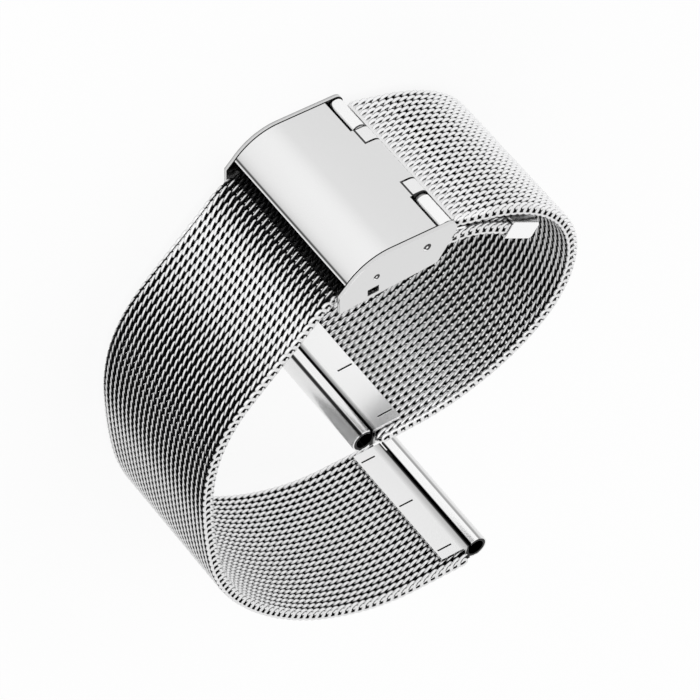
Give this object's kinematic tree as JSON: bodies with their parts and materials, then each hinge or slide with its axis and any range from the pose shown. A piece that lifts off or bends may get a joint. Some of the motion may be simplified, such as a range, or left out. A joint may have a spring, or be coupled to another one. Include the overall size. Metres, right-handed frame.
{
  "type": "milanese mesh watch band",
  "caption": "Two-piece woven steel mesh watch band with a sliding, hooked and hinged clasp and rolled lug ends for spring bars.",
  "frame": {"origin": "centre of the bounding box of the curled band, on the surface it stands on, under the lower face of the clasp's side flange", "axes": "+Z along the band's width, from one side edge to the other; +X along the clasp, from its lip to its hinge; +Y outwards through the clasp's cover"},
  "size_m": [0.0496, 0.0674, 0.0218],
  "materials": {
    "polished_steel": "polished stainless steel sheet",
    "woven_wire_steel": "rolled and polished stainless steel wire weave",
    "pin_steel": "turned and ground stainless steel",
    "inner_plate_steel": "pressed stainless steel sheet, satin"
  },
  "bodies": {
    "clasp": {"clasp_frame": "polished_steel", "catch_pin": "pin_steel", "lock_plate_pin": "pin_steel"},
    "hook": {"hook_link": "inner_plate_steel", "cover_hinge_pin": "pin_steel"},
    "cover": {"clasp_cover": "polished_steel", "cover_catch": "inner_plate_steel"},
    "lock_plate": {"lock_plate": "inner_plate_steel"},
    "strap": {"clasp_mesh": "woven_wire_steel"},
    "short_swivel": {"short_hinge_plate": "inner_plate_steel", "short_mesh_01": "woven_wire_steel"},
    "tail_mesh_01": {"tail_mesh_01": "woven_wire_steel"},
    "tail_mesh_02": {"tail_mesh_02": "woven_wire_steel"},
    "tail_mesh_03": {"tail_mesh_03": "woven_wire_steel", "tail_cap": "polished_steel"},
    "long_mesh_01": {"long_mesh_01": "woven_wire_steel"},
    "long_mesh_02": {"long_mesh_02": "woven_wire_steel"},
    "long_mesh_03": {"long_mesh_03": "woven_wire_steel"},
    "long_mesh_04": {"long_mesh_04": "woven_wire_steel"},
    "long_mesh_05": {"long_mesh_05": "woven_wire_steel"},
    "long_mesh_06": {"long_mesh_06": "woven_wire_steel"},
    "long_mesh_07": {"long_mesh_07": "woven_wire_steel"},
    "long_mesh_08": {"long_mesh_08": "woven_wire_steel"},
    "long_mesh_09": {"long_mesh_09": "woven_wire_steel"},
    "long_mesh_10": {"long_mesh_10": "woven_wire_steel"},
    "long_mesh_11": {"long_mesh_11": "woven_wire_steel"},
    "long_mesh_12": {"long_mesh_12": "woven_wire_steel"},
    "long_mesh_13": {"long_mesh_13": "woven_wire_steel"},
    "long_mesh_14": {"long_mesh_14": "woven_wire_steel"},
    "long_mesh_15": {"long_mesh_15": "woven_wire_steel"},
    "long_mesh_16": {"long_mesh_16": "woven_wire_steel"},
    "long_mesh_17": {"long_mesh_17": "woven_wire_steel"},
    "long_mesh_18": {"long_mesh_18": "woven_wire_steel", "long_lug_end": "polished_steel"},
    "short_mesh_02": {"short_mesh_02": "woven_wire_steel"},
    "short_mesh_03": {"short_mesh_03": "woven_wire_steel"},
    "short_mesh_04": {"short_mesh_04": "woven_wire_steel"},
    "short_mesh_05": {"short_mesh_05": "woven_wire_steel"},
    "short_mesh_06": {"short_mesh_06": "woven_wire_steel"},
    "short_mesh_07": {"short_mesh_07": "woven_wire_steel"},
    "short_mesh_08": {"short_mesh_08": "woven_wire_steel"},
    "short_mesh_09": {"short_mesh_09": "woven_wire_steel"},
    "short_mesh_10": {"short_mesh_10": "woven_wire_steel"},
    "short_mesh_11": {"short_mesh_11": "woven_wire_steel"},
    "short_mesh_12": {"short_mesh_12": "woven_wire_steel"},
    "short_mesh_13": {"short_mesh_13": "woven_wire_steel", "short_lug_end": "polished_steel"}
  },
  "joints": [
    {"name": "hook_release", "type": "slide", "parent": "clasp", "child": "hook", "axis": [0, 1, 0], "range_m": [0, 0.006]},
    {"name": "cover_lift", "type": "hinge", "parent": "hook", "child": "cover", "pos_m": [0.00625, 0.03189, 0.0109], "axis": [0, 0, -1], "range_deg": [0, 75]},
    {"name": "lock_plate_lift", "type": "hinge", "parent": "clasp", "child": "lock_plate", "pos_m": [-0.00305, 0.03064, 0.0109], "axis": [0, 0, 1], "range_deg": [0, 20]},
    {"name": "strap_slide", "type": "slide", "parent": "clasp", "child": "strap", "axis": [-1, 0, 0], "range_m": [0, 0.0021]},
    {"name": "short_half_swivel", "type": "hinge", "parent": "hook", "child": "short_swivel", "pos_m": [0.00625, 0.03189, 0.0109], "axis": [0, 0, 1], "range_deg": [0, 35]},
    {"name": "tail_mesh_01_bend", "type": "hinge", "parent": "strap", "child": "tail_mesh_01", "pos_m": [0.0048, 0.02899, 0.0109], "axis": [0, 0, -1], "range_deg": [0, 20]},
    {"name": "tail_mesh_02_bend", "type": "hinge", "parent": "tail_mesh_01", "child": "tail_mesh_02", "pos_m": [0.00896, 0.02848, 0.0109], "axis": [0, 0, -1], "range_deg": [0, 10]},
    {"name": "tail_mesh_03_bend", "type": "hinge", "parent": "tail_mesh_02", "child": "tail_mesh_03", "pos_m": [0.01277, 0.02678, 0.0109], "axis": [0, 0, -1], "range_deg": [0, 10]},
    {"name": "long_mesh_01_bend", "type": "hinge", "parent": "strap", "child": "long_mesh_01", "pos_m": [-0.00675, 0.02899, 0.0109], "axis": [0, 0, -1], "range_deg": [0, 17]},
    {"name": "long_mesh_02_bend", "type": "hinge", "parent": "long_mesh_01", "child": "long_mesh_02", "pos_m": [-0.00874, 0.02839, 0.0109], "axis": [0, 0, -1], "range_deg": [0, 23]},
    {"name": "long_mesh_03_bend", "type": "hinge", "parent": "long_mesh_02", "child": "long_mesh_03", "pos_m": [-0.01035, 0.02704, 0.0109], "axis": [0, 0, -1], "range_deg": [0, 5]},
    {"name": "long_mesh_04_bend", "type": "hinge", "parent": "long_mesh_03", "child": "long_mesh_04", "pos_m": [-0.01183, 0.02555, 0.0109], "axis": [0, 0, -1], "range_deg": [0, 2]},
    {"name": "long_mesh_05_bend", "type": "hinge", "parent": "long_mesh_04", "child": "long_mesh_05", "pos_m": [-0.01488, 0.02266, 0.0109], "axis": [0, 0, -1], "range_deg": [0, 2]},
    {"name": "long_mesh_06_bend", "type": "hinge", "parent": "long_mesh_05", "child": "long_mesh_06", "pos_m": [-0.01865, 0.01901, 0.0109], "axis": [0, 0, -1], "range_deg": [0, 9.5]},
    {"name": "long_mesh_07_bend", "type": "hinge", "parent": "long_mesh_06", "child": "long_mesh_07", "pos_m": [-0.02176, 0.01481, 0.0109], "axis": [0, 0, -1], "range_deg": [0, 17]},
    {"name": "long_mesh_08_bend", "type": "hinge", "parent": "long_mesh_07", "child": "long_mesh_08", "pos_m": [-0.02351, 0.00988, 0.0109], "axis": [0, 0, -1], "range_deg": [0, 14]},
    {"name": "long_mesh_09_bend", "type": "hinge", "parent": "long_mesh_08", "child": "long_mesh_09", "pos_m": [-0.02401, 0.00466, 0.0109], "axis": [0, 0, -1], "range_deg": [0, 7.5]},
    {"name": "long_mesh_10_bend", "type": "hinge", "parent": "long_mesh_09", "child": "long_mesh_10", "pos_m": [-0.02383, -0.00059, 0.0109], "axis": [0, 0, -1], "range_deg": [0, 4]},
    {"name": "long_mesh_11_bend", "type": "hinge", "parent": "long_mesh_10", "child": "long_mesh_11", "pos_m": [-0.02328, -0.00581, 0.0109], "axis": [0, 0, -1], "range_deg": [0, 7.5]},
    {"name": "long_mesh_12_bend", "type": "hinge", "parent": "long_mesh_11", "child": "long_mesh_12", "pos_m": [-0.02206, -0.0109, 0.0109], "axis": [0, 0, -1], "range_deg": [0, 11.5]},
    {"name": "long_mesh_13_bend", "type": "hinge", "parent": "long_mesh_12", "child": "long_mesh_13", "pos_m": [-0.01984, -0.01565, 0.0109], "axis": [0, 0, -1], "range_deg": [0, 10]},
    {"name": "long_mesh_14_bend", "type": "hinge", "parent": "long_mesh_13", "child": "long_mesh_14", "pos_m": [-0.01683, -0.01995, 0.0109], "axis": [0, 0, -1], "range_deg": [0, 9]},
    {"name": "long_mesh_15_bend", "type": "hinge", "parent": "long_mesh_14", "child": "long_mesh_15", "pos_m": [-0.01246, -0.02448, 0.0109], "axis": [0, 0, -1], "range_deg": [0, 10.5]},
    {"name": "long_mesh_16_bend", "type": "hinge", "parent": "long_mesh_15", "child": "long_mesh_16", "pos_m": [-0.00734, -0.02813, 0.0109], "axis": [0, 0, -1], "range_deg": [0, 11]},
    {"name": "long_mesh_17_bend", "type": "hinge", "parent": "long_mesh_16", "child": "long_mesh_17", "pos_m": [-0.00162, -0.03074, 0.0109], "axis": [0, 0, -1], "range_deg": [0, 13.5]},
    {"name": "long_mesh_18_bend", "type": "hinge", "parent": "long_mesh_17", "child": "long_mesh_18", "pos_m": [0.00455, -0.03194, 0.0109], "axis": [0, 0, -1], "range_deg": [0, 8]},
    {"name": "short_mesh_02_bend", "type": "hinge", "parent": "short_swivel", "child": "short_mesh_02", "pos_m": [0.01213, 0.02963, 0.0109], "axis": [0, 0, 1], "range_deg": [0, 4.5]},
    {"name": "short_mesh_03_bend", "type": "hinge", "parent": "short_mesh_02", "child": "short_mesh_03", "pos_m": [0.01592, 0.02783, 0.0109], "axis": [0, 0, 1], "range_deg": [0, 10.5]},
    {"name": "short_mesh_04_bend", "type": "hinge", "parent": "short_mesh_03", "child": "short_mesh_04", "pos_m": [0.01931, 0.02536, 0.0109], "axis": [0, 0, 1], "range_deg": [0, 14]},
    {"name": "short_mesh_05_bend", "type": "hinge", "parent": "short_mesh_04", "child": "short_mesh_05", "pos_m": [0.022, 0.02216, 0.0109], "axis": [0, 0, 1], "range_deg": [0, 17]},
    {"name": "short_mesh_06_bend", "type": "hinge", "parent": "short_mesh_05", "child": "short_mesh_06", "pos_m": [0.02364, 0.01831, 0.0109], "axis": [0, 0, 1], "range_deg": [0, 18.5]},
    {"name": "short_mesh_07_bend", "type": "hinge", "parent": "short_mesh_06", "child": "short_mesh_07", "pos_m": [0.02396, 0.01414, 0.0109], "axis": [0, 0, 1], "range_deg": [0, 19]},
    {"name": "short_mesh_08_bend", "type": "hinge", "parent": "short_mesh_07", "child": "short_mesh_08", "pos_m": [0.02292, 0.01009, 0.0109], "axis": [0, 0, 1], "range_deg": [0, 18.5]},
    {"name": "short_mesh_09_bend", "type": "hinge", "parent": "short_mesh_08", "child": "short_mesh_09", "pos_m": [0.02064, 0.00658, 0.0109], "axis": [0, 0, 1], "range_deg": [0, 16]},
    {"name": "short_mesh_10_bend", "type": "hinge", "parent": "short_mesh_09", "child": "short_mesh_10", "pos_m": [0.01748, 0.00383, 0.0109], "axis": [0, 0, 1], "range_deg": [0, 12.5]},
    {"name": "short_mesh_11_bend", "type": "hinge", "parent": "short_mesh_10", "child": "short_mesh_11", "pos_m": [0.01379, 0.00183, 0.0109], "axis": [0, 0, 1], "range_deg": [0, 11]},
    {"name": "short_mesh_12_bend", "type": "hinge", "parent": "short_mesh_11", "child": "short_mesh_12", "pos_m": [0.00879, 0.00025, 0.0109], "axis": [0, 0, 1], "range_deg": [0, 12]},
    {"name": "short_mesh_13_bend", "type": "hinge", "parent": "short_mesh_12", "child": "short_mesh_13", "pos_m": [0.00358, -0.00025, 0.0109], "axis": [0, 0, 1], "range_deg": [0, 6.5]}
  ],
  "couplings": [
    {"joint": "tail_mesh_02_bend", "follows": "tail_mesh_01_bend", "ratio": 0.5},
    {"joint": "tail_mesh_03_bend", "follows": "tail_mesh_01_bend", "ratio": 0.5},
    {"joint": "long_mesh_06_bend", "follows": "long_mesh_07_bend", "ratio": 0.55882},
    {"joint": "long_mesh_08_bend", "follows": "long_mesh_07_bend", "ratio": 0.82353},
    {"joint": "long_mesh_09_bend", "follows": "long_mesh_07_bend", "ratio": 0.44117},
    {"joint": "long_mesh_10_bend", "follows": "long_mesh_07_bend", "ratio": 0.23529},
    {"joint": "long_mesh_11_bend", "follows": "long_mesh_07_bend", "ratio": 0.44117},
    {"joint": "long_mesh_12_bend", "follows": "long_mesh_07_bend", "ratio": 0.67647},
    {"joint": "long_mesh_13_bend", "follows": "long_mesh_07_bend", "ratio": 0.58823},
    {"joint": "long_mesh_14_bend", "follows": "long_mesh_07_bend", "ratio": 0.52941},
    {"joint": "long_mesh_15_bend", "follows": "long_mesh_07_bend", "ratio": 0.61765},
    {"joint": "long_mesh_16_bend", "follows": "long_mesh_07_bend", "ratio": 0.64706},
    {"joint": "long_mesh_17_bend", "follows": "long_mesh_07_bend", "ratio": 0.79412},
    {"joint": "long_mesh_18_bend", "follows": "long_mesh_07_bend", "ratio": 0.47059},
    {"joint": "short_mesh_02_bend", "follows": "short_mesh_07_bend", "ratio": 0.23684},
    {"joint": "short_mesh_03_bend", "follows": "short_mesh_07_bend", "ratio": 0.55263},
    {"joint": "short_mesh_04_bend", "follows": "short_mesh_07_bend", "ratio": 0.73684},
    {"joint": "short_mesh_05_bend", "follows": "short_mesh_07_bend", "ratio": 0.89474},
    {"joint": "short_mesh_06_bend", "follows": "short_mesh_07_bend", "ratio": 0.97368},
    {"joint": "short_mesh_08_bend", "follows": "short_mesh_07_bend", "ratio": 0.97368},
    {"joint": "short_mesh_09_bend", "follows": "short_mesh_07_bend", "ratio": 0.8421},
    {"joint": "short_mesh_10_bend", "follows": "short_mesh_07_bend", "ratio": 0.65789},
    {"joint": "short_mesh_11_bend", "follows": "short_mesh_07_bend", "ratio": 0.57895},
    {"joint": "short_mesh_12_bend", "follows": "short_mesh_07_bend", "ratio": 0.63158},
    {"joint": "short_mesh_13_bend", "follows": "short_mesh_07_bend", "ratio": 0.3421}
  ]
}
